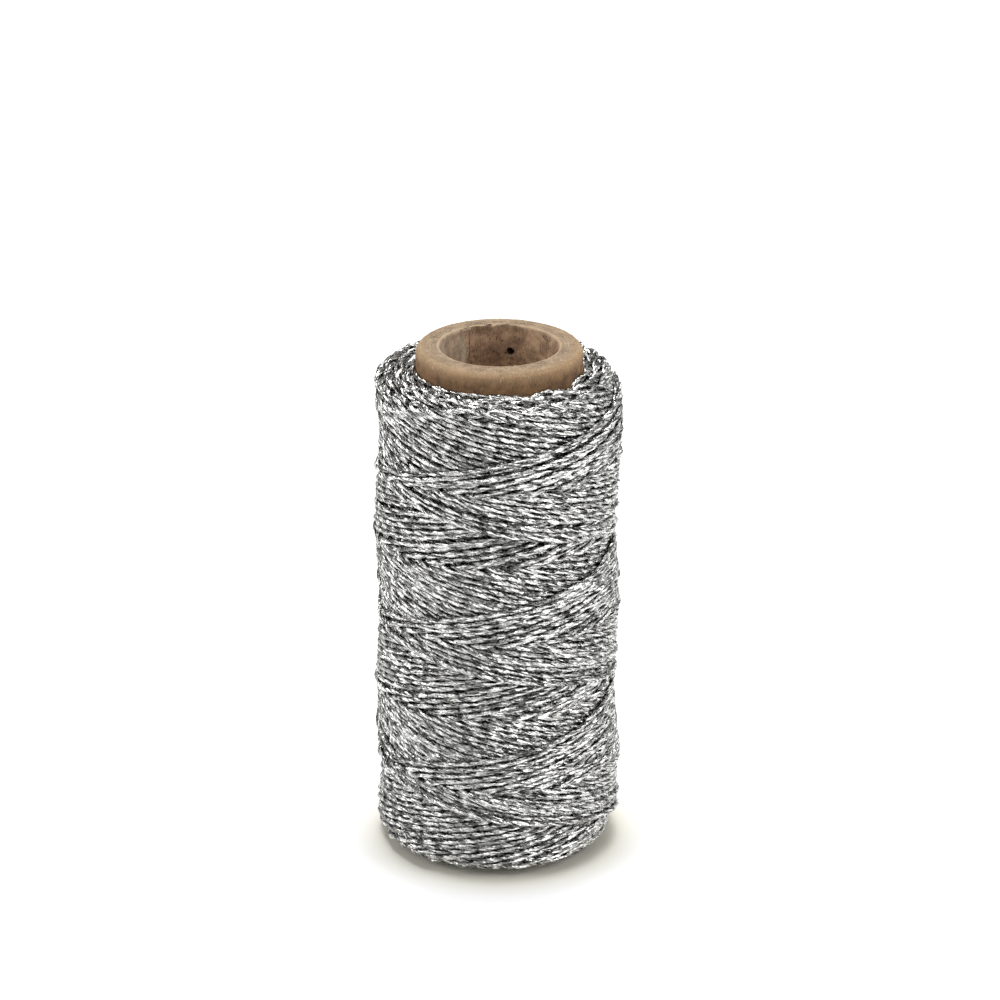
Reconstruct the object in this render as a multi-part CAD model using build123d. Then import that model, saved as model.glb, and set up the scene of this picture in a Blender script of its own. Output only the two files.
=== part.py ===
from build123d import *
import os

# Twine spool: a parallel-wound paper tube carrying a cross-wound package of metallic twine.
# Millimetres. It stands on end: the tube's axis is Z and its lower rim is on z = 0.
# Angles are round Z, in degrees from +X towards +Y.

# Paper tube
tube_length = 90.0
bore_diameter = 20.0
ply_count = 8
ply_thickness = 0.51
rim_outer_round = 1.4  # burnished outer edge of each rim
rim_inner_round = 0.5
seam_gap = 0.12  # between the two butted edges of a ply
liner_seam_angle = 121.0
seam_step = 150.0  # from one ply's seam to the next ply's, so that neighbours' never meet

# Hole through the wall that holds the start of the twine
anchor_hole_clearance = 0.4  # how much wider it is than the twine
anchor_hole_angle = 79.0
anchor_hole_cover = 0.5  # from the winding's upper edge down to the top of the hole

# Twine
twine_diameter = 1.0
tail_recess = 1.8  # from the bore's wall back to the cut end of the twine
package_diameter = 41.0
bare_top = 3.6  # bare tube above the winding
bare_foot = 0.4
layer_count = 4
end_drop = 0.6  # fall of the winding's end face from the tube out to its shoulder
shoulder_draft = 0.3  # how much smaller the package is at its shoulders
draft_length = 8.0
shoulder_round = 4.2

# Worked out from the sizes above
bore_radius = bore_diameter / 2
tube_wall = ply_count * ply_thickness
tube_radius = bore_radius + tube_wall
package_radius = package_diameter / 2
layer_depth = (package_radius - tube_radius) / layer_count
winding_foot = bare_foot
winding_top = tube_length - bare_top
anchor_hole_diameter = twine_diameter + anchor_hole_clearance
anchor_hole_z = winding_top - anchor_hole_cover - anchor_hole_diameter / 2


def ring(inner_radius, outer_radius):
    """A round wall as tall as the tube."""
    from_foot = (Align.CENTER, Align.CENTER, Align.MIN)
    outside = Cylinder(outer_radius, tube_length, align=from_foot)
    return outside - Cylinder(inner_radius, tube_length, align=from_foot)


def tube_blank():
    """The whole wall of the tube, with both rims rounded."""
    with BuildPart() as blank:
        with BuildSketch(Plane.XZ):
            with Locations((bore_radius, 0)):
                wall = Rectangle(tube_wall, tube_length, align=(Align.MIN, Align.MIN))
            corners = wall.vertices().sort_by(Axis.X)
            fillet(corners[:2], min(rim_inner_round, 0.4 * tube_wall))
            fillet(corners[2:], min(rim_outer_round, 0.4 * tube_wall))
        revolve(axis=Axis.Z)
    return blank.part


def seam(inner_radius, outer_radius, angle):
    """The narrow gap, along the whole tube, where one ply's two edges butt."""
    depth = outer_radius - inner_radius
    gap = Box(2 * depth, seam_gap, 2 * tube_length)
    return Rot(Z=angle) * Pos(X=(inner_radius + outer_radius) / 2) * gap


def across_wall(diameter, start_radius, end_radius):
    """A round bar along the anchor hole's axis, between two radii."""
    length = end_radius - start_radius
    bar = Cylinder(diameter / 2, length, align=(Align.CENTER, Align.CENTER, Align.MIN))
    return Rot(Z=anchor_hole_angle) * Pos(start_radius, 0, anchor_hole_z) * Rot(Y=90) * bar


def ply_name(index):
    if index == 0:
        return "core_liner"
    if index == ply_count - 1:
        return "core_outer_wrap"
    return f"core_ply_{index + 1}"


def ply(blank, index):
    """One strip of board bent once round the axis until its edges butt."""
    inner_radius = bore_radius + index * ply_thickness
    outer_radius = inner_radius + ply_thickness
    strip = blank & ring(inner_radius, outer_radius)
    strip -= seam(inner_radius, outer_radius, liner_seam_angle + index * seam_step)
    return strip - across_wall(anchor_hole_diameter, 0.9 * bore_radius, 1.1 * tube_radius)


def package():
    """The whole winding: slightly sloping end faces, rounded shoulders and a straight body."""
    shoulder_radius = package_radius - shoulder_draft
    outline = [
        (tube_radius, winding_foot),
        (shoulder_radius, winding_foot + end_drop),
        (package_radius, winding_foot + end_drop + draft_length),
        (package_radius, winding_top - end_drop - draft_length),
        (shoulder_radius, winding_top - end_drop),
        (tube_radius, winding_top),
    ]
    shoulder_limit = 0.7 * (shoulder_radius - tube_radius)
    with BuildPart() as winding:
        with BuildSketch(Plane.XZ) as section:
            with BuildLine():
                Polyline(*outline, close=True)
            make_face()
            shoulders = section.vertices().filter_by(
                lambda corner: abs(corner.X - shoulder_radius) < 1e-6
            )
            fillet(shoulders, min(shoulder_round, shoulder_limit))
        revolve(axis=Axis.Z)
    return winding.part


def write(shape, node):
    export_step(shape, f"parts/{node}.step")


os.makedirs("parts", exist_ok=True)

blank = tube_blank()
for index in range(ply_count):
    write(ply(blank, index), ply_name(index))

tail = across_wall(twine_diameter, bore_radius + tail_recess, 1.1 * tube_radius)
write(tail & blank, "twine_start_tail")

winding = package()
layer_names = ["twine_base_layer", "twine_second_layer", "twine_third_layer", "twine_outer_layer"]
for index, name in enumerate(layer_names):
    inner_radius = tube_radius + index * layer_depth
    write(winding & ring(inner_radius, inner_radius + layer_depth), name)
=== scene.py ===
import bpy, bmesh, math
import numpy as np
from mathutils import Matrix, Vector, noise


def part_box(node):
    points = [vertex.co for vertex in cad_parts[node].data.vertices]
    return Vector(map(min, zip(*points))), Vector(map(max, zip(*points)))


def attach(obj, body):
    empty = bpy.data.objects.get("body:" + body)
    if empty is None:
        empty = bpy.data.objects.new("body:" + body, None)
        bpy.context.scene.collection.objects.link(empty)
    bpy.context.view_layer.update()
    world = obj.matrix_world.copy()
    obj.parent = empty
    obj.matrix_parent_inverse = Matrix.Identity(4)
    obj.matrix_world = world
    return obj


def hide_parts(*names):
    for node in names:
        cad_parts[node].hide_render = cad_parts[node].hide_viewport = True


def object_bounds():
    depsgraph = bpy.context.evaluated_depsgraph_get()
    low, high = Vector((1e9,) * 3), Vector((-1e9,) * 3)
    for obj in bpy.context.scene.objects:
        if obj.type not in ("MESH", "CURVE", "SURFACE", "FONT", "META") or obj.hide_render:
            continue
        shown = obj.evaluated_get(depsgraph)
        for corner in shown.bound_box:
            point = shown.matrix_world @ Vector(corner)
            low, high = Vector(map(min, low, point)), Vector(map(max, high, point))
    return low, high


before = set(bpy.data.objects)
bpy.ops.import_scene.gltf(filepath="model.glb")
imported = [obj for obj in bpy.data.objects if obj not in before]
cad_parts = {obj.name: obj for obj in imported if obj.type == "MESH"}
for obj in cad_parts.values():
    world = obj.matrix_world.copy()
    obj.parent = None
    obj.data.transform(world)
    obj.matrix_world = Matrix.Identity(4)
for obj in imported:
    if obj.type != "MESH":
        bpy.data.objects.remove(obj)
cadLow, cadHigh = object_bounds()
mm = 0.001

coreNodes = ["core_liner"] + [f"core_ply_{k}" for k in range(2, 8)] + ["core_outer_wrap"]
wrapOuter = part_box("core_outer_wrap")[1].x
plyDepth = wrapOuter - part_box("core_ply_7")[1].x
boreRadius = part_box("core_liner")[1].x - plyDepth
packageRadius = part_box("twine_outer_layer")[1].x
windingFoot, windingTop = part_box("twine_base_layer")[0].z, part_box("twine_base_layer")[1].z
tailLow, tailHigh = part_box("twine_start_tail")
tailCentre = (tailLow + tailHigh) / 2


def linkObject(name, data):
    obj = bpy.data.objects.new(name, data)
    bpy.context.scene.collection.objects.link(obj)
    return obj


def meshObject(name, bm):
    mesh = bpy.data.meshes.new(name)
    bm.to_mesh(mesh)
    bm.free()
    return linkObject(name, mesh)


def bakeObject(obj, name):  # the evaluated shape, modifiers and bevels included, as a plain mesh
    depsgraph = bpy.context.evaluated_depsgraph_get()
    mesh = bpy.data.meshes.new_from_object(obj.evaluated_get(depsgraph))
    bpy.data.objects.remove(obj)
    mesh.name = name
    return linkObject(name, mesh)


def faceOutwards(piece):  # welds the end caps on first
    bm = bmesh.new()
    bm.from_mesh(piece.data)
    bmesh.ops.remove_doubles(bm, verts=bm.verts, dist=0.001 * mm)
    bmesh.ops.recalc_face_normals(bm, faces=bm.faces)
    bm.to_mesh(piece.data)
    bm.free()


def setPiece(piece, slot, material, *nodes):
    piece.data.materials.clear()
    piece.data.materials.append(material)
    piece.data.shade_smooth()
    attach(piece, "root")
    if nodes:
        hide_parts(*nodes)
    return piece


# Material helpers


def addNode(tree, kind, inputs=None, **settings):
    node = tree.nodes.new("ShaderNode" + kind)
    for key, value in settings.items():
        setattr(node, key, value)
    for key, value in (inputs or {}).items():
        if isinstance(value, bpy.types.NodeSocket):
            tree.links.new(value, node.inputs[key])
        else:
            node.inputs[key].default_value = value
    return node


def addMath(tree, operation, first, second=0.0, third=0.0, clamp=False):
    inputs = {0: first, 1: second, 2: third}
    return addNode(tree, "Math", inputs, operation=operation, use_clamp=clamp).outputs[0]


def addRange(tree, value, fromLow, fromHigh, toLow=0.0, toHigh=1.0):
    inputs = {"Value": value, 1: fromLow, 2: fromHigh, 3: toLow, 4: toHigh}
    return addNode(tree, "MapRange", inputs).outputs["Result"]


def addMix(tree, factor, first, second):
    node = addNode(tree, "Mix", data_type="RGBA")
    for socket, value in ((node.inputs[0], factor), (node.inputs[6], first), (node.inputs[7], second)):
        if isinstance(value, bpy.types.NodeSocket):
            tree.links.new(value, socket)
        elif isinstance(value, tuple):
            socket.default_value = (*value, 1)
        else:
            socket.default_value = value
    return node.outputs[2]


def addNoise(tree, vector, scale, detail=3.0, roughness=0.55):
    inputs = {"Vector": vector, "Scale": scale, "Detail": detail, "Roughness": roughness}
    return addNode(tree, "TexNoise", inputs).outputs["Fac"]


def makeGroup(name, inputs, outputs):
    group = bpy.data.node_groups.new(name, "ShaderNodeTree")
    for label, kind, value in inputs:
        socket = group.interface.new_socket(label, in_out="INPUT", socket_type="NodeSocket" + kind)
        if value is not None:
            socket.default_value = value
    for label, kind in outputs:
        group.interface.new_socket(label, in_out="OUTPUT", socket_type="NodeSocket" + kind)
    return group, group.nodes.new("NodeGroupInput").outputs, group.nodes.new("NodeGroupOutput").inputs


def useGroup(tree, group, inputs):
    return addNode(tree, "Group", inputs, node_tree=group).outputs


def makeMaterial(name):
    material = bpy.data.materials.new(name)
    material.use_nodes = True
    return material, material.node_tree, material.node_tree.nodes["Principled BSDF"].inputs


# Metallic twine: silver film wrapped on a pale yarn, three plies twisted together; the film's colour carries
# painted glints and dark reflections

film = {
    # the film's colour runs from dark to bright facet by facet: painted reflections and glints
    "dark": (0.045, 0.046, 0.045),
    "bright": (0.98, 0.975, 0.95),
    "roughness": (0.16, 0.38),
    "facetsRound": 9.0,  # broad facets round one strand
    "facetsPerMm": 0.68,  # and along it
    "facetTilt": 0.95,
    "facetShare": 0.68,  # share of the painted glint brightness that the broad facets give
    "sparksRound": 14.0,  # small facets, which give the rest
    "sparksPerMm": 2.5,
    "sparkTilt": 0.6,
    "streaksRound": 34.0,  # fine lines along the film
    "streaksPerMm": 0.9,
    "streakGain": (0.55, 1.35),
    "streakRelief": 0.06 * mm,
    "contrast": (0.18, 0.78),
    "yarn": (0.42, 0.31, 0.19),
    "patchesRound": 3.0,  # worn patches of the film
    "patchesPerMm": 0.22,
    "yarnShown": 0.775,  # noise above this shows the bare yarn
    "yarnEdge": 0.03,
}


def filmFacets():
    group, given, result = makeGroup(
        "filmFacets",
        [("Vector", "Vector", None), ("Normal", "Vector", None), ("Tilt", "Float", 0.5)],
        [("Value", "Float"), ("Normal", "Vector")],
    )
    cells = addNode(group, "TexVoronoi", {"Vector": given["Vector"], "Scale": 1.0}, voronoi_dimensions="2D")
    cells = cells.outputs["Color"]
    grain = addNode(group, "SeparateColor", {"Color": cells})
    lean = addNode(group, "VectorMath", {0: cells, 1: (0.5, 0.5, 0.5)}, operation="SUBTRACT")
    lean = addNode(group, "VectorMath", {0: lean.outputs[0], "Scale": given["Tilt"]}, operation="SCALE")
    normal = addNode(group, "VectorMath", {0: given["Normal"], 1: lean.outputs[0]}, operation="ADD")
    normal = addNode(group, "VectorMath", {0: normal.outputs[0]}, operation="NORMALIZE")
    group.links.new(grain.outputs[0], result["Value"])
    group.links.new(normal.outputs[0], result["Normal"])
    return group


def makeFilm():
    material, tree, shader = makeMaterial("silverFilm")
    facets = filmFacets()
    uv = addNode(tree, "UVMap", uv_map="UVMap").outputs["UV"]
    normal = addNode(tree, "NewGeometry").outputs["Normal"]

    def scaled(around, perMm):
        return addNode(tree, "Mapping", {"Vector": uv, "Scale": (perMm, around, 1)}).outputs["Vector"]

    place = scaled(film["facetsRound"], film["facetsPerMm"])
    wide = useGroup(tree, facets, {"Vector": place, "Normal": normal, "Tilt": film["facetTilt"]})
    place = scaled(film["sparksRound"], film["sparksPerMm"])
    fine = useGroup(tree, facets, {"Vector": place, "Normal": wide["Normal"], "Tilt": film["sparkTilt"]})
    streaks = addNoise(tree, scaled(film["streaksRound"], film["streaksPerMm"]), 1.0, 2.0)
    share = film["facetShare"]
    # painted glints: broad and small facets, and streaks along the film, set how bright each bit of film is
    # coloured
    sparkle = addMath(tree, "MULTIPLY", fine["Value"], 1 - share)
    paintedGlints = addMath(tree, "MULTIPLY_ADD", wide["Value"], share, sparkle)
    paintedGlints = addMath(tree, "MULTIPLY", paintedGlints, addRange(tree, streaks, 0.3, 0.7, *film["streakGain"]))
    glintColour = addMix(tree, addRange(tree, paintedGlints, *film["contrast"]), film["dark"], film["bright"])
    patchNoise = addNoise(tree, scaled(film["patchesRound"], film["patchesPerMm"]), 1.0, 1.0)
    bare = addRange(tree, patchNoise, film["yarnShown"], film["yarnShown"] + film["yarnEdge"])
    tree.links.new(addMix(tree, bare, glintColour, film["yarn"]), shader["Base Color"])
    tree.links.new(addMath(tree, "SUBTRACT", 1.0, bare), shader["Metallic"])
    tree.links.new(addRange(tree, fine["Value"], 0, 1, *film["roughness"]), shader["Roughness"])
    relief = {"Height": streaks, "Normal": fine["Normal"], "Strength": 0.5, "Distance": film["streakRelief"]}
    bump = addNode(tree, "Bump", relief)
    tree.links.new(bump.outputs["Normal"], shader["Normal"])
    return material


# Winding

twine = {
    "radius": 0.5 * mm,
    "plies": 3,
    "plyGroove": 0.36,  # how deep the grooves between plies are, as a share of the radius
    "lay": 10.5 * mm,  # length of one full turn of the plies
}

winding = {
    "cycles": 105,  # there and back along the tube
    "turnsPerCycle": 5.964,  # a little short of six, so each pass lies beside the one before
    "holeToTurn": 0.12,  # radians from the anchor hole to where the twine lies on the tube
    "runOut": 0.22,  # turns after the last turn back, up to the free end
    "turnBack": 4.0 * mm,  # half length of the bend at each end of the traverse
    "turnLoss": 0.3 * mm,  # what the rounded bend takes off the stroke
    "footShoulder": (3.9 * mm, 0.35),  # how much earlier the outermost passes turn back,
    "topShoulder": (3.3 * mm, 0.52),  # and the share of the depth where this starts
    "strokeWander": 0.7 * mm,
    "passSlip": 0.07 * mm,  # sideways scatter of a whole pass
    "sideWander": 0.10 * mm,  # slow sideways drift along the twine
    "wanderLength": 20 * mm,
    "softSide": 0.40 * mm,  # half width over which two strands bear on each other
    "bedding": 0.10 * mm,  # how far a strand sinks into those it crosses
    "slide": 0.25 * mm,  # how readily a strand slides off a slope
    "slideLimit": 0.25 * mm,
    "easeSide": 20,  # smoothing along the twine, in columns
    "easeUp": 8,
    "evenOut": 0.62,  # how far tension presses the ridges down to the package's even surface
    "ridge": 1.6 * mm,  # size of the unevenness that stays
    "swell": 11 * mm,  # size over which the package counts as even
    "lastTurnAt": 1.64,  # azimuth of the last turn back at the foot, radians from the front
    "offCentre": -0.32 * mm,  # lean of the outermost layer to one side
    "tuck": 9 * mm,  # length of the free end that dips under its neighbours
    "tuckDepth": 1.6,  # in twine radii
    "tailBow": 0.35 * mm,  # how far the start of the twine stands off the tube
    "columns": 640,  # the height map's columns round the package
    "rowHeight": 0.1 * mm,
    "margin": 28,  # columns looked at beyond each end of the stretch being laid
    "nudge": 0.12 * mm,  # step to each side when the slope underneath is felt
    "fineCycles": 32,  # outermost cycles, laid in full detail
}


def smoothed(values, reach):
    window = np.hanning(2 * reach + 3)
    padded = np.pad(values, reach + 1, mode="edge")
    return np.convolve(padded, window / window.sum(), mode="valid")


def leadIn():  # part turn round the top, from the anchor hole to the first stroke
    w = winding
    hole = math.atan2(tailCentre.y, tailCentre.x) + math.pi / 2 + w["holeToTurn"]
    return ((w["lastTurnAt"] - hole) / (2 * math.pi) - (w["cycles"] - 0.5) * w["turnsPerCycle"]) % 1


def shoulder(wound, depth, start):  # a quarter round, from this share of the winding's depth outwards
    rise = np.clip((wound - start) / (1 - start), 0, 1)
    return depth * (1 - np.sqrt(1 - rise**2))


def traverse(rng):  # height of the twine at every column, from the first turn at the top
    w = winding
    total = int((leadIn() + (w["cycles"] - 0.5) * w["turnsPerCycle"] + w["runOut"]) * w["columns"])
    ends = np.arange(2 * w["cycles"] + 3)
    wound = np.clip((ends - 1) / (2 * w["cycles"] - 1), 0, 1)
    footRound, topRound = (shoulder(wound, *w[end]) for end in ("footShoulder", "topShoulder"))
    inset = twine["radius"] - w["turnLoss"] + np.where(ends % 2 == 0, footRound, topRound)
    inset += rng.uniform(0, w["strokeWander"], len(ends)) * (0.3 + 0.7 * wound)
    turnAt = np.where(ends % 2 == 0, windingFoot + inset, windingTop - inset)
    phase = 1 + np.maximum(np.arange(total) / w["columns"] - leadIn(), 0) / w["turnsPerCycle"] * 2
    height = np.interp(phase, ends, turnAt)
    height += np.interp(phase, ends + 0.5, rng.normal(0, w["passSlip"], len(ends)))
    spacing = 2 * math.pi * packageRadius / w["columns"]
    place = np.arange(total) * spacing / w["wanderLength"]
    drift = np.interp(place, np.arange(int(place[-1]) + 2), rng.normal(0, 1, int(place[-1]) + 2))
    drift = smoothed(drift, int(0.4 * w["wanderLength"] / spacing))
    return smoothed(height, int(w["turnBack"] / spacing)) + w["sideWander"] * drift


def windTwine():  # lays the twine on a height map of the package, one eighth of a turn at a time
    w, radius, soft = winding, twine["radius"], winding["softSide"]
    columns, rowHeight = w["columns"], w["rowHeight"]
    height = traverse(np.random.default_rng(11))
    total = len(height)
    surface = np.full((columns, int(cadHigh.z / rowHeight) + 20), wrapOuter)
    reach = int(soft / rowHeight) + 1
    offsets = np.arange(-reach, reach + 2)
    margin, nudge = w["margin"], w["nudge"]
    step = columns // 8
    seat, push, centre, place = np.zeros(total), np.zeros(total), np.zeros(total), height.copy()

    def lookUnder(index, at):
        row = np.floor(at / rowHeight).astype(int)[:, None] + offsets
        away = row * rowHeight - at[:, None]
        lift = np.sqrt(np.maximum(soft**2 - away**2, 0)) + radius - soft
        return (index % columns)[:, None], row, np.where(np.abs(away) < soft, lift, -1)

    def support(index, at):
        column, row, lift = lookUnder(index, at)
        return (surface[column, row] + lift).max(1)

    for start in range(0, total, step):
        stop = min(start + step, total)
        ahead = np.arange(start, min(stop + margin, total))
        first = max(start - margin, 0)
        above, below = (support(ahead, height[ahead] + side) for side in (nudge, -nudge))
        slope = (above - below) / (2 * nudge)
        push[ahead] = np.clip(-slope * w["slide"], -w["slideLimit"], w["slideLimit"])
        slid = smoothed(push[first : ahead[-1] + 1], w["easeSide"])[start - first :]
        moved = height[ahead] + slid
        seat[ahead] = support(ahead, moved) - w["bedding"]
        eased = smoothed(seat[first : ahead[-1] + 1], w["easeUp"])[start - first :]
        index = ahead[: stop - start]
        place[index] = moved[: stop - start]
        centre[index] = eased[: stop - start]
        column, row, lift = lookUnder(index, place[index])
        laid = np.where(lift > 0, centre[index][:, None] + lift, 0)
        surface[column, row] = np.maximum(surface[column, row], laid)
    return smoothed(centre, 3), smoothed(place, 3), surface


def softened(surface, size):  # the height map, smoothed round and along the tube
    around = int(size / (2 * math.pi * packageRadius / winding["columns"]))
    along = int(size / winding["rowHeight"])
    wide = np.concatenate([surface[-around - 1 :], surface, surface[: around + 1]])
    wide = np.apply_along_axis(smoothed, 0, wide, around)[around + 1 : -around - 1]
    return np.apply_along_axis(smoothed, 1, wide, along)


def pressRidges(centre, height, surface):  # twine wound over a ridge pulls tighter than over a hollow
    w = winding
    body = np.maximum(surface, np.percentile(surface, 30))
    ridge = softened(body, w["ridge"]) - softened(body, w["swell"])
    column = np.arange(len(centre)) % w["columns"]
    row = np.clip(np.round(height / w["rowHeight"]).astype(int), 0, surface.shape[1] - 1)
    depth = (centre - wrapOuter) / (softened(surface, w["ridge"])[column, row] - wrapOuter)
    return centre - w["evenOut"] * ridge[column, row] * np.clip(depth, 0, 1)


def twinePath():
    w = winding
    centre, height, surface = windTwine()
    centre = pressRidges(centre, height, surface)
    turned = 2 * math.pi * np.arange(len(centre)) / w["columns"]
    strokes = leadIn() + (w["cycles"] - 0.5) * w["turnsPerCycle"]
    azimuth = turned - strokes * 2 * math.pi + w["lastTurnAt"]
    spacing = 2 * math.pi * packageRadius / w["columns"]
    fromEnd = np.arange(len(centre))[::-1] * spacing / w["tuck"]
    centre = centre - w["tuckDepth"] * twine["radius"] * np.clip(1 - fromEnd, 0, 1) ** 2
    lean = w["offCentre"] * (centre - wrapOuter) / (packageRadius - wrapOuter)
    path = np.stack([centre * np.sin(azimuth) + lean, -centre * np.cos(azimuth), height], 1)
    outer = int(w["columns"] * w["turnsPerCycle"])
    lie = (centre[-outer:].mean(), centre[-w["fineCycles"] * outer :].max())
    print("outer strands lie at", *(round(value / mm, 2) for value in lie), "mm")
    return path


def twineSection(sides, groove):
    curve = bpy.data.curves.new("twineSection", "CURVE")
    curve.dimensions = "2D"
    spline = curve.splines.new("POLY")
    spline.points.add(sides - 1)
    for k, point in enumerate(spline.points):
        turn = 2 * math.pi * k / sides
        reach = twine["radius"] * (1 - groove * (0.5 - 0.5 * math.cos(twine["plies"] * turn)))
        point.co = (reach * math.cos(turn), reach * math.sin(turn), 0, 1)
    spline.use_cyclic_u = True
    return linkObject("twineSection", curve)


def layTwine(name, points, section, *nodes):
    along = np.concatenate([[0], np.cumsum(np.linalg.norm(np.diff(points, axis=0), axis=1))])
    curve = bpy.data.curves.new(name, "CURVE")
    curve.dimensions = "3D"
    curve.twist_mode = "Z_UP"
    curve.bevel_mode = "OBJECT"
    curve.bevel_object = section
    curve.use_fill_caps = True
    spline = curve.splines.new("POLY")
    spline.points.add(len(points) - 1)
    spline.points.foreach_set("co", np.concatenate([points, np.ones((len(points), 1))], 1).ravel())
    spline.points.foreach_set("tilt", 2 * math.pi * along / twine["lay"])
    piece = bakeObject(linkObject(name + "Curve", curve), name)
    uv = piece.data.uv_layers["UVMap"].uv
    values = np.empty(2 * len(uv), dtype=np.float32)
    uv.foreach_get("vector", values)
    values[0::2] *= along[-1] / mm  # the first coordinate runs along the twine, in millimetres
    uv.foreach_set("vector", values)
    faceOutwards(piece)
    return setPiece(piece, "metallic_twine", silverFilm, *nodes)


def layWinding(path):
    w = winding
    perCycle = w["columns"] * w["turnsPerCycle"]
    fineStart = int((w["cycles"] - 0.5 - w["fineCycles"]) * perCycle)
    coarse, fine = twineSection(9, twine["plyGroove"]), twineSection(12, twine["plyGroove"])
    inner = ["twine_base_layer", "twine_second_layer", "twine_third_layer"]
    edges = np.linspace(0, fineStart, 7).astype(int)
    pieces = []
    for k in range(6):
        points = path[edges[k] : edges[k + 1] + 1 : 8]
        pieces.append(layTwine(f"innerTwine{k + 1}", points, coarse, inner[k // 2]))
    edges = np.linspace(fineStart, len(path) - 1, 8).astype(int)
    for k in range(7):
        points = path[edges[k] : edges[k + 1] + 1 : 3]
        pieces.append(layTwine(f"outerTwine{k + 1}", points, fine, "twine_outer_layer"))
    pieces.append(layTwine("startTail", tailPath(path[0]), fine, "twine_start_tail"))
    bpy.data.objects.remove(coarse)
    bpy.data.objects.remove(fine)
    return pieces


def tailPath(first):  # out through the hole in the wall, then round the tube to the first turn
    out = Vector((tailCentre.x, tailCentre.y, 0)).normalized()
    cutEnd = math.hypot(tailLow.x, tailLow.y)
    inner = [Vector((0, 0, tailCentre.z)) + out * reach for reach in np.linspace(cutEnd, wrapOuter, 7)]
    join = Vector(first)
    return np.array([*inner, inner[-1].lerp(join, 0.5) + out * winding["tailBow"], join])


silverFilm = makeFilm()
wound = twinePath()
twinePieces = layWinding(wound)
length = float(np.linalg.norm(np.diff(wound, axis=0), axis=1).sum())
print("twine wound:", round(length, 2), "m in", len(twinePieces), "pieces")

# Paper tube

tube = {
    "rimOuterRound": 1.4 * mm,
    "rimInnerRound": 0.5 * mm,
    "seamGap": 0.12 * mm,
    "linerSeam": 121.0,  # degrees from +X
    "seamStep": 150.0,  # from one ply's seam to the next
    "steps": 360,
    "wallRows": (4, 76, 7),  # rows of points up a wall that shows: first and last in mm, and how many
    "rimRows": (80, 88, 9),
    "lipRows": (88.7, 89.0, 89.3),
    "outOfRound": 0.09 * mm,
    "rimWave": 0.12 * mm,
    "rimFuzz": 0.05 * mm,
    "rimReach": 2.2 * mm,  # how far from a cut end it is rough
    "plyStep": 0.06 * mm,  # how much one ply's edge may stand above the next
    "lipFromSeam": 20,  # degrees back from the seam to the middle of the liner's torn lip
    "lipHalfWidth": 36,
    "lipDepth": 1.2 * mm,
    "lipInward": 0.85 * mm,
    "lipRise": 0.3 * mm,
    "holeSlack": 0.2 * mm,
    "drillLength": 8 * mm,
}


def rimHeight(radius):  # drop of the rounded rim below the tube's end, at this radius
    inner, outer = tube["rimInnerRound"], tube["rimOuterRound"]
    if radius < boreRadius + inner:
        return inner - math.sqrt(max(inner**2 - (boreRadius + inner - radius) ** 2, 0))
    if radius > wrapOuter - outer:
        return outer - math.sqrt(max(outer**2 - (radius - wrapOuter + outer) ** 2, 0))
    return 0.0


def wander(x, y, z, seed, size):
    return noise.noise(Vector((x / size + 17 * seed, y / size, z / size)))


def roughenRim(co, index):  # out of round as a whole, wavy and fuzzy at the two cut ends
    radius = math.hypot(co.x, co.y)
    unitX, unitY = co.x / radius, co.y / radius
    share = co.z / cadHigh.z
    bottom, top = (wander(unitX, unitY, 0, seed, 0.9) for seed in (1, 2))
    shift = tube["outOfRound"] * (bottom * (1 - share) + top * share)
    fromEnd = min(co.z, cadHigh.z - co.z)
    nearEnd = max(0.0, 1 - fromEnd / tube["rimReach"])
    if index == len(coreNodes) - 1:
        shift += nearEnd * tube["rimFuzz"] * wander(co.x, co.y, co.z, 3, 0.9 * mm)
    sign = 1 if share > 0.5 else -1
    wave = min(0, wander(unitX, unitY, sign, 4, 0.7)) * tube["rimWave"] - 0.5 * tube["rimFuzz"]
    wave += wander(co.x, co.y, index, 5, 0.7 * mm) * tube["rimFuzz"] - tube["plyStep"] * (index * 7 % 3) / 2
    rise = wave * sign * nearEnd
    return Vector((co.x + unitX * shift, co.y + unitY * shift, max(co.z + rise, 0)))


def tearLiner(co):  # the liner's torn lip beside its seam
    angle = math.degrees(math.atan2(co.y, co.x))
    fromMiddle = abs(angle - tube["linerSeam"] + tube["lipFromSeam"])
    nearSeam = max(0.0, 1 - fromMiddle / tube["lipHalfWidth"])
    nearTop = max(0.0, 1 - (cadHigh.z - co.z) / tube["lipDepth"])
    rag = 0.45 + 1.3 * wander(co.x, co.y, 0, 6, 1.1 * mm) + 0.8 * wander(co.x, co.y, 0, 7, 0.35 * mm)
    lift = nearSeam**0.5 * nearTop * min(max(rag, 0), 1.2)
    inward = 1 - tube["lipInward"] * lift / boreRadius
    return Vector((co.x * inward, co.y * inward, co.z + tube["lipRise"] * lift))


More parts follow.
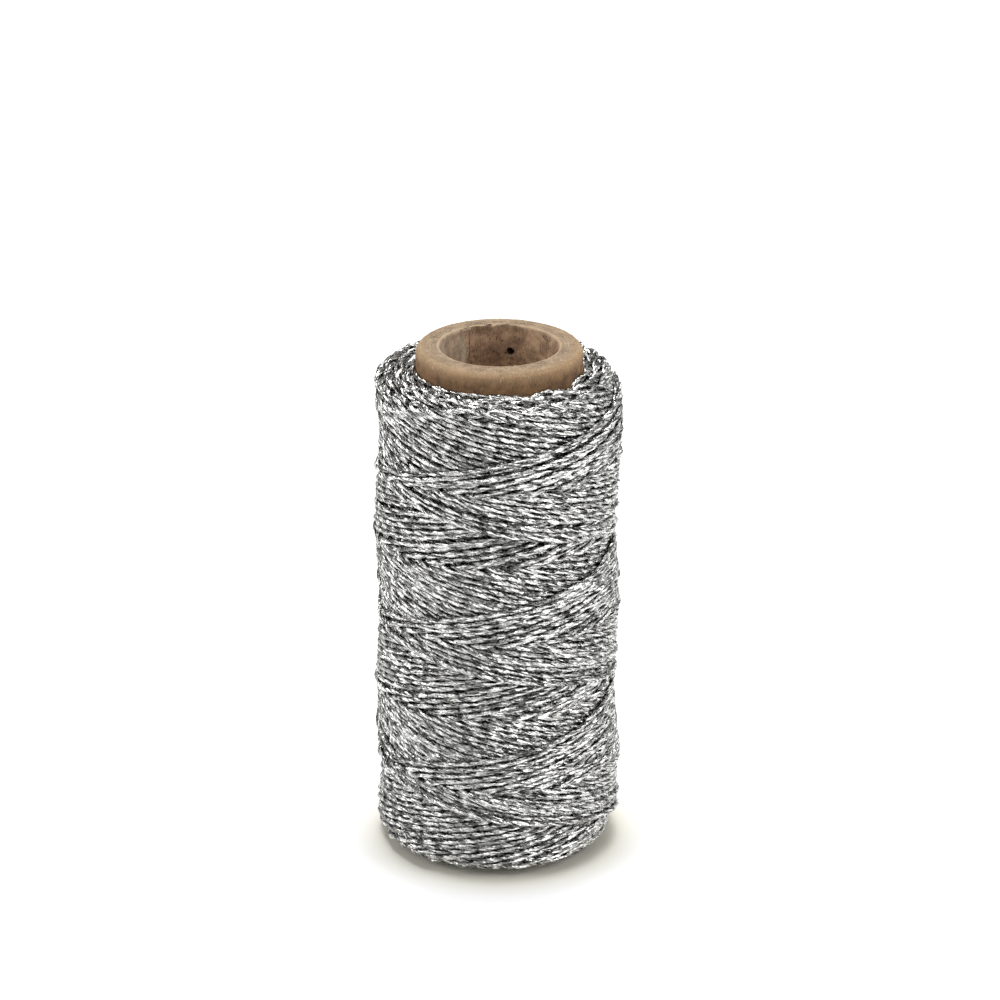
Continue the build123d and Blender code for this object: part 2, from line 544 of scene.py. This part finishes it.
def spinPly(index, name, material, slot):
    inner = boreRadius + index * plyDepth
    outer = inner + plyDepth
    across = np.linspace(inner, outer, 7)
    levels = [45.0]
    if index in (0, len(coreNodes) - 1):  # the two plies whose walls show
        levels = [*np.linspace(*tube["wallRows"]), *np.linspace(*tube["rimRows"])]
    if index == 0:
        levels += tube["lipRows"]
    levels = np.array(levels) * mm
    foot = [(r, rimHeight(r)) for r in across]
    head = [(r, cadHigh.z - rimHeight(r)) for r in across[::-1]]
    outline = foot + [(outer, z) for z in levels] + head + [(inner, z) for z in levels[::-1]]
    bm = bmesh.new()
    corners = [bm.verts.new((r, 0, z)) for r, z in outline]
    strip = bm.faces.new(corners)
    gap = tube["seamGap"] / (inner + outer) * 2
    bmesh.ops.spin(
        bm, geom=[strip, *strip.edges, *strip.verts], cent=(0, 0, 0), axis=(0, 0, 1),
        angle=2 * math.pi - gap, steps=tube["steps"], use_merge=False, use_duplicate=False,
    )
    seam = math.radians(tube["linerSeam"] + index * tube["seamStep"]) + gap / 2
    bmesh.ops.rotate(bm, verts=bm.verts, cent=(0, 0, 0), matrix=Matrix.Rotation(seam, 3, "Z"))
    for vert in bm.verts:
        vert.co = roughenRim(vert.co, index)
        if index == 0:
            vert.co = tearLiner(vert.co)
    seamFaces = [face for face in bm.faces if len(face.verts) > 4]
    bmesh.ops.triangulate(bm, faces=seamFaces, ngon_method="BEAUTY")
    bmesh.ops.recalc_face_normals(bm, faces=bm.faces)
    piece = drillHole(meshObject(name, bm), name)
    return setPiece(piece, slot, material, coreNodes[index])


def drillHole(piece, name):  # for the start of the twine
    bm = bmesh.new()
    radius = (tailHigh.z - tailLow.z) / 2 + tube["holeSlack"]
    depth = tube["drillLength"]
    bmesh.ops.create_cone(bm, cap_ends=True, segments=28, radius1=radius, radius2=radius, depth=depth)
    turn = Vector((tailCentre.x, tailCentre.y, 0)).to_track_quat("Z", "Y").to_matrix()
    bmesh.ops.rotate(bm, verts=bm.verts, cent=(0, 0, 0), matrix=turn)
    bmesh.ops.translate(bm, verts=bm.verts, vec=tailCentre)
    drill = meshObject("drill", bm)
    cut = piece.modifiers.new("hole", "BOOLEAN")
    cut.object = drill
    cut.solver = "EXACT"
    drilled = bakeObject(piece, name)
    bpy.data.objects.remove(drill)
    return drilled


# Paper finishes, all on object coordinates

paper = {
    "wrap": {"light": (0.235, 0.122, 0.047), "dark": (0.046, 0.020, 0.006), "speck": 0.71, "fibre": 0.45},
    "board": {"light": (0.365, 0.262, 0.165), "dark": (0.055, 0.032, 0.017), "speck": 0.70, "fibre": 0.9},
    "liner": {"light": (0.64, 0.43, 0.265), "dark": (0.12, 0.066, 0.038), "speck": 0.68, "fibre": 0.85},
    "blotches": 420.0,  # noise scales, per metre
    "fibreGrain": (7000, 7000, 1500),
    "flecks": 1500.0,
    "golden": (0.355, 0.236, 0.124),  # lighter golden tone towards the rim: over the wrap's top and the rim top's outer edge
    "rimToneShare": 0.7,
    "rimToneTop": (2.5 * mm, 0.2 * mm),  # it sets in and is full this far below the end,
    "rimToneSide": (2.4 * mm, 0.5 * mm),  # and this far in from the outside
    "pale": (0.66, 0.56, 0.42),  # the liner beyond its seam
    "stain": (0.17, 0.09, 0.065),
    "stainShare": 0.55,
    "wrapSpeck": (0.06, 0.033, 0.018),
    "boardSpeck": (0.12, 0.07, 0.035),
    "linerSpeck": (0.07, 0.035, 0.025),
}


def paperGrain():  # mottled pulp: broad blotches, short fibres lying three ways, and dark specks
    group, given, result = makeGroup(
        "paperGrain",
        [("Vector", "Vector", None), ("Speck Level", "Float", 0.66)],
        [("Mottle", "Float"), ("Fibres", "Float"), ("Specks", "Float")],
    )
    place = given["Vector"]
    broad = addNoise(group, place, paper["blotches"], 4.0, 0.6)
    group.links.new(addRange(group, broad, 0.32, 0.68), result["Mottle"])
    squeezed = [
        addNode(group, "Mapping", {"Vector": place, "Rotation": turn, "Scale": paper["fibreGrain"]})
        for turn in ((0.5, 0.3, 0.2), (-0.7, 0.9, 1.9), (1.4, -0.2, 0.8))
    ]
    layers = [addNoise(group, mapping.outputs["Vector"], 1.0, 2.0) for mapping in squeezed]
    fibres = addMath(group, "MAXIMUM", addMath(group, "MAXIMUM", layers[0], layers[1]), layers[2])
    group.links.new(addRange(group, fibres, 0.48, 0.78), result["Fibres"])
    flecks = addNoise(group, place, paper["flecks"], 2.0, 0.4)
    above = addMath(group, "SUBTRACT", flecks, given["Speck Level"])
    group.links.new(addMath(group, "MULTIPLY", above, 22.0, clamp=True), result["Specks"])
    return group


def makePaper(name, finish, grain, relief):
    material, tree, shader = makeMaterial(name)
    place = addNode(tree, "TexCoord").outputs["Object"]
    out = useGroup(tree, grain, {"Vector": place, "Speck Level": finish["speck"]})
    colour = addMix(tree, out["Mottle"], finish["dark"], finish["light"])
    lifted = addMath(tree, "MULTIPLY", out["Fibres"], finish["fibre"])
    colour = addMix(tree, lifted, colour, tuple(min(1.0, 1.35 * c + 0.05) for c in finish["light"]))
    tree.links.new(addRange(tree, out["Fibres"], 0, 1, 0.88, 0.66), shader["Roughness"])
    broad = addMath(tree, "MULTIPLY", out["Mottle"], 0.5)
    height = addMath(tree, "MULTIPLY_ADD", out["Fibres"], 0.7, broad)
    bump = addNode(tree, "Bump", {"Height": height, "Strength": 0.8, "Distance": relief})
    tree.links.new(bump.outputs["Normal"], shader["Normal"])
    return material, tree, shader, place, colour, out["Specks"]


def makeWrap(grain):
    material, tree, shader, place, colour, specks = makePaper("wrapPaper", paper["wrap"], grain, 0.10 * mm)
    colour = addMix(tree, specks, colour, paper["wrapSpeck"])
    height = addNode(tree, "SeparateXYZ", {"Vector": place}).outputs["Z"]
    # the wrap turns lighter and golden over its top few millimetres
    rimTone = addRange(tree, height, *(cadHigh.z - below for below in paper["rimToneTop"]))
    colour = addMix(tree, addMath(tree, "MULTIPLY", rimTone, paper["rimToneShare"]), colour, paper["golden"])
    tree.links.new(colour, shader["Base Color"])
    return material


def makeBoard(grain):
    material, tree, shader, place, colour, specks = makePaper("tubeBoard", paper["board"], grain, 0.16 * mm)
    flat = addNode(tree, "VectorMath", {0: place, 1: (1, 1, 0)}, operation="MULTIPLY")
    radius = addNode(tree, "VectorMath", {0: flat.outputs[0]}, operation="LENGTH").outputs["Value"]
    rings = addMath(tree, "SINE", addMath(tree, "MULTIPLY", radius, 2 * math.pi / plyDepth))
    colour = addMix(tree, addRange(tree, rings, 0.2, 1, 0, 0.3), colour, paper["board"]["dark"])
    # the rim top turns golden towards its outer edge
    rimTone = addRange(tree, radius, *(wrapOuter - inside for inside in paper["rimToneSide"]))
    colour = addMix(tree, addMath(tree, "MULTIPLY", rimTone, paper["rimToneShare"]), colour, paper["golden"])
    colour = addMix(tree, addMath(tree, "MULTIPLY", specks, 0.7), colour, paper["boardSpeck"])
    tree.links.new(colour, shader["Base Color"])
    return material


def makeLiner(grain):
    material, tree, shader, place, colour, specks = makePaper("linerPaper", paper["liner"], grain, 0.14 * mm)
    seam = math.radians(tube["linerSeam"])
    beyond = (-math.sin(seam), math.cos(seam), 0)
    past = addNode(tree, "VectorMath", {0: place, 1: beyond}, operation="DOT_PRODUCT")
    ragged = addMath(tree, "MULTIPLY", addNoise(tree, place, 600.0, 5.0, 0.7), 2.4 * mm)
    edge = addMath(tree, "ADD", past.outputs["Value"], ragged)
    pale = addRange(tree, edge, 1.2 * mm, 2.2 * mm)  # paler beyond the seam, with a ragged edge
    patchNoise = addRange(tree, addNoise(tree, place, 700.0, 4.0), 0.35, 0.62, 0.15, 0.95)
    colour = addMix(tree, addMath(tree, "MULTIPLY", pale, patchNoise), colour, paper["pale"])
    stains = addRange(tree, addNoise(tree, place, 330.0, 5.0, 0.65), 0.42, 0.62)
    colour = addMix(tree, addMath(tree, "MULTIPLY", stains, paper["stainShare"]), colour, paper["stain"])
    colour = addMix(tree, specks, colour, paper["linerSpeck"])
    height = addNode(tree, "SeparateXYZ", {"Vector": place}).outputs["Z"]
    cut = addRange(tree, height, cadHigh.z - 0.8 * mm, cadHigh.z - 0.3 * mm)  # the board's tone at the edge
    colour = addMix(tree, addMath(tree, "MULTIPLY", cut, 0.8), colour, paper["board"]["light"])
    tree.links.new(colour, shader["Base Color"])
    return material


grain = paperGrain()
wrapPaper, tubeBoard, linerPaper = makeWrap(grain), makeBoard(grain), makeLiner(grain)
corePieces = [spinPly(0, "liner", linerPaper, "liner_paper")]
for index in range(1, len(coreNodes) - 1):
    corePieces.append(spinPly(index, f"ply{index + 1}", tubeBoard, "tube_board"))
corePieces.append(spinPly(len(coreNodes) - 1, "outerWrap", wrapPaper, "wrap_paper"))
print("tube rolled from", len(corePieces), "plies")

# Loose fibres on the two cut ends

fibres = {
    "count": 1100,
    "upperShare": 0.8,  # at the upper end
    "length": (0.2 * mm, 0.75 * mm),
    "radius": 0.032 * mm,
    "sunk": 0.02 * mm,  # how deep one is bedded in the paper
    "curl": 0.9,
    "lift": 0.5,
    "dark": (0.34, 0.24, 0.145),
    "pale": (0.74, 0.61, 0.44),
}


def makeFibres():
    rng = np.random.default_rng(5)
    curve = bpy.data.curves.new("rimFibres", "CURVE")
    curve.dimensions = "3D"
    curve.bevel_depth = fibres["radius"]
    curve.bevel_resolution = 0
    curve.use_fill_caps = True
    for k in range(fibres["count"]):
        upper = rng.random() < fibres["upperShare"]
        angle = rng.uniform(0, 2 * math.pi)
        radius = boreRadius + (wrapOuter - boreRadius) * rng.beta(1.6, 1.1)
        length = rng.uniform(*fibres["length"])
        heading = rng.uniform(0, 2 * math.pi)
        bend = rng.normal(0, fibres["curl"])
        lift = max(0, rng.normal(0.05, fibres["lift"]))
        spline = curve.splines.new("POLY")
        spline.points.add(4)
        x, y = radius * math.cos(angle), radius * math.sin(angle)
        for step, point in enumerate(spline.points):
            reach = math.hypot(x, y)
            clamped = min(max(reach, boreRadius), wrapOuter - fibres["sunk"])
            drop = rimHeight(clamped)
            overEdge = max(0, reach - clamped) * 1.2
            rise = (lift * step / 4) ** 2 * length - fibres["sunk"]
            z = cadHigh.z - drop - overEdge + rise if upper else drop + overEdge - min(rise, 0)
            keep = clamped / reach if reach > wrapOuter else 1
            point.co = (x * keep, y * keep, max(z, fibres["radius"]), 1)
            point.radius = 1 - 0.18 * step
            x += math.cos(heading) * length / 4
            y += math.sin(heading) * length / 4
            heading += bend / 4
    piece = bakeObject(linkObject("rimFibresCurve", curve), "rimFibres")
    setPiece(piece, "tube_board", fibreMaterial)


def makeFibreMaterial():
    material, tree, shader = makeMaterial("paperFibre")
    place = addNode(tree, "TexCoord").outputs["Object"]
    tone = addRange(tree, addNoise(tree, place, 900.0), 0.35, 0.65)
    tree.links.new(addMix(tree, tone, fibres["dark"], fibres["pale"]), shader["Base Color"])
    shader["Roughness"].default_value = 0.7
    return material


fibreMaterial = makeFibreMaterial()
makeFibres()
print("fibres laid on the rims:", fibres["count"])

# Floor, light and camera

studio = {
    "floor": (0.79, 0.79, 0.79),
    "floorShadeTint": (0.73, 0.715, 0.63),  # painted shade round the spool's foot, a little darker and warmer than the floor
    "shadeTintEdge": (20 * mm, 27 * mm),  # where that fades out
    "surround": 0.24,  # brightness of the white surround, except where the camera sees it
    "sun": 3.93,
    "sunAngle": 42,
    "sunFrom": (0.0, 0.21, 1.0),
    "side": 3.35,  # brightness of the two softboxes
    "sideSize": (0.35, 0.8),
    "sidePlace": (0.55, -0.20, 0.22),
}


def makeFloor():
    bm = bmesh.new()
    bmesh.ops.create_grid(bm, x_segments=1, y_segments=1, size=3.0)
    floor = meshObject("floor", bm)
    material, tree, shader = makeMaterial("floorWhite")
    place = addNode(tree, "TexCoord").outputs["Object"]
    away = addNode(tree, "VectorMath", {0: place}, operation="LENGTH").outputs["Value"]
    # painted shade: the floor darker and warmer near the spool's foot, fading out to the plain floor
    colour = addMix(tree, addRange(tree, away, *studio["shadeTintEdge"]), studio["floorShadeTint"], studio["floor"])
    tree.links.new(colour, shader["Base Color"])
    shader["Roughness"].default_value = 0.9
    floor.data.materials.append(material)


def aim(obj, place, at):
    obj.location = place
    obj.rotation_mode = "QUATERNION"
    obj.rotation_quaternion = (Vector(at) - Vector(place)).to_track_quat("-Z", "Y")


def addSoftbox(name, side):
    light = bpy.data.lights.new(name, "AREA")
    light.shape = "RECTANGLE"
    light.size, light.size_y = studio["sideSize"]
    light.energy = studio["side"] * math.pi * light.size * light.size_y
    x, y, z = studio["sidePlace"]
    aim(linkObject(name, light), (side * x, y, z), (0, 0, cadHigh.z / 2))


def addSun():
    sun = bpy.data.lights.new("sun", "SUN")
    sun.energy = studio["sun"]
    sun.angle = math.radians(studio["sunAngle"])
    aim(linkObject("sun", sun), studio["sunFrom"], (0, 0, 0))


def makeWorld():
    world = bpy.data.worlds.new("studio")
    world.use_nodes = True
    tree = world.node_tree
    tree.nodes["Background"].inputs["Color"].default_value = (1, 1, 1, 1)
    seen = addNode(tree, "LightPath").outputs["Is Camera Ray"]
    strength = addRange(tree, seen, 0, 1, studio["surround"], 1.0)
    tree.links.new(strength, tree.nodes["Background"].inputs["Strength"])
    bpy.context.scene.world = world


makeFloor()
addSun()
addSoftbox("leftSoftbox", -1)
addSoftbox("rightSoftbox", 1)
makeWorld()
bpy.context.scene.view_settings.view_transform = "Standard"

camera = {"distance": 734 * mm, "pitch": 22.13, "lens": 155.4, "aim": (0.1 * mm, 0, 61.9 * mm)}
cam = linkObject("camera", bpy.data.cameras.new("camera"))
pitch = math.radians(camera["pitch"])
back = Vector((0, -math.cos(pitch), math.sin(pitch)))
aim(cam, Vector(camera["aim"]) + back * camera["distance"], camera["aim"])
cam.data.lens = camera["lens"]
cam.data.sensor_width = 36
bpy.context.scene.camera = cam

print("floor, lights and camera set")
